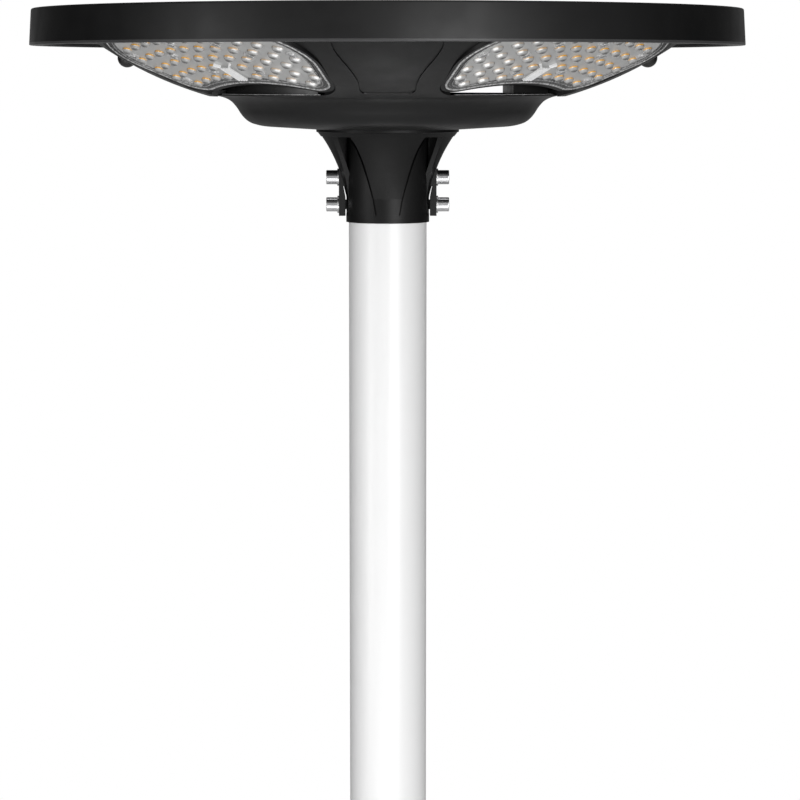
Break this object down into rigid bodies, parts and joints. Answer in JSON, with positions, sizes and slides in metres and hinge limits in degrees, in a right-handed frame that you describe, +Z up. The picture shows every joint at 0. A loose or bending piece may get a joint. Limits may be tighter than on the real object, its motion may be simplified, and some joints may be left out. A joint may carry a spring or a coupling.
{
  "type": "solar street lamp",
  "caption": "Post-top solar street lamp: round dished black head with a solar panel on top, tilted LED lens plates, battery bowl and clamp collar on a white round pole with base plate.",
  "frame": {"origin": "centre of the base plate's underside, on the ground", "axes": "+Z up along the pole, +X to the right clamp screws, -Y towards the front arm"},
  "size_m": [0.6899, 0.69, 2.5052],
  "materials": {
    "white_paint": "semi-gloss white powder coat",
    "cast_black": "satin black powder coat over die-cast aluminium",
    "bright_steel": "stainless",
    "dark_steel": "black oxide",
    "chrome_screw": "bright plated",
    "panel_glass": "tempered glass, lightly textured",
    "silicon": "dark blue monocrystalline silicon with silver lines",
    "backsheet": "black laminate",
    "seal_rubber": "matt",
    "black_plastic": "moulded black",
    "button_rubber": "soft dark red cap",
    "circuit_board": "solder-masked board",
    "led_board": "light grey mask over aluminium core",
    "phosphor": "amber phosphor",
    "clear_lens": "clear moulded polycarbonate, stands in for plastic",
    "cell_wrap": "blue shrink wrap over metal cans"
  },
  "bodies": {
    "pole": {"base_plate": "white_paint", "pole_tube": "white_paint", "base_gussets": "white_paint"},
    "head": {"collar": "cast_black", "collar_screws": "dark_steel", "clamp_washers": "bright_steel", "battery_bowl": "cast_black", "bowl_screws": "bright_steel", "button_bezel": "bright_steel", "canopy": "cast_black", "rim_skirt": "cast_black", "rim_screws": "dark_steel", "panel_glass": "panel_glass", "solar_cells": "silicon", "panel_backsheet": "backsheet", "panel_gasket": "seal_rubber", "panel_bezel": "cast_black", "bezel_screws": "dark_steel", "junction_box": "black_plastic", "sensor_dome_right": "black_plastic", "sensor_dome_left": "black_plastic", "sensor_boards": "circuit_board", "battery_case": "black_plastic", "battery_lid": "black_plastic", "battery_cells": "cell_wrap", "bms_board": "circuit_board", "controller_case": "black_plastic", "controller_board": "circuit_board", "led_tray_1": "cast_black", "led_tray_2": "cast_black", "led_tray_3": "cast_black", "led_tray_4": "cast_black", "led_board_1": "led_board", "led_board_2": "led_board", "led_board_3": "led_board", "led_board_4": "led_board", "led_chips_1": "phosphor", "led_chips_2": "phosphor", "led_chips_3": "phosphor", "led_chips_4": "phosphor", "led_lens_1": "clear_lens", "led_lens_2": "clear_lens", "led_lens_3": "clear_lens", "led_lens_4": "clear_lens", "led_gasket_1": "seal_rubber", "led_gasket_2": "seal_rubber", "led_gasket_3": "seal_rubber", "led_gasket_4": "seal_rubber", "lens_screws_1": "bright_steel", "lens_screws_2": "bright_steel", "lens_screws_3": "bright_steel", "lens_screws_4": "bright_steel"},
    "clamp_screw_1": {"clamp_screw_1": "chrome_screw"},
    "clamp_screw_2": {"clamp_screw_2": "chrome_screw"},
    "clamp_screw_3": {"clamp_screw_3": "chrome_screw"},
    "clamp_screw_4": {"clamp_screw_4": "chrome_screw"},
    "power_button": {"power_button": "button_rubber"}
  },
  "joints": [
    {"name": "head_swivel", "type": "hinge", "parent": "pole", "child": "head", "pos_m": [0, 0, 2.3824], "axis": [0, 0, 1], "continuous": true},
    {"name": "clamp_screw_1_slide", "type": "slide", "parent": "head", "child": "clamp_screw_1", "axis": [1, 0, 0], "range_m": [0, 0.008]},
    {"name": "clamp_screw_2_slide", "type": "slide", "parent": "head", "child": "clamp_screw_2", "axis": [1, 0, 0], "range_m": [0, 0.008]},
    {"name": "clamp_screw_3_slide", "type": "slide", "parent": "head", "child": "clamp_screw_3", "axis": [-1, 0, 0], "range_m": [0, 0.008]},
    {"name": "clamp_screw_4_slide", "type": "slide", "parent": "head", "child": "clamp_screw_4", "axis": [-1, 0, 0], "range_m": [0, 0.008]},
    {"name": "power_button_press", "type": "slide", "parent": "head", "child": "power_button", "axis": [0, 0, 1], "range_m": [0, 0.002], "stiffness_N_per_m": 800, "springref_m": -0.001}
  ]
}
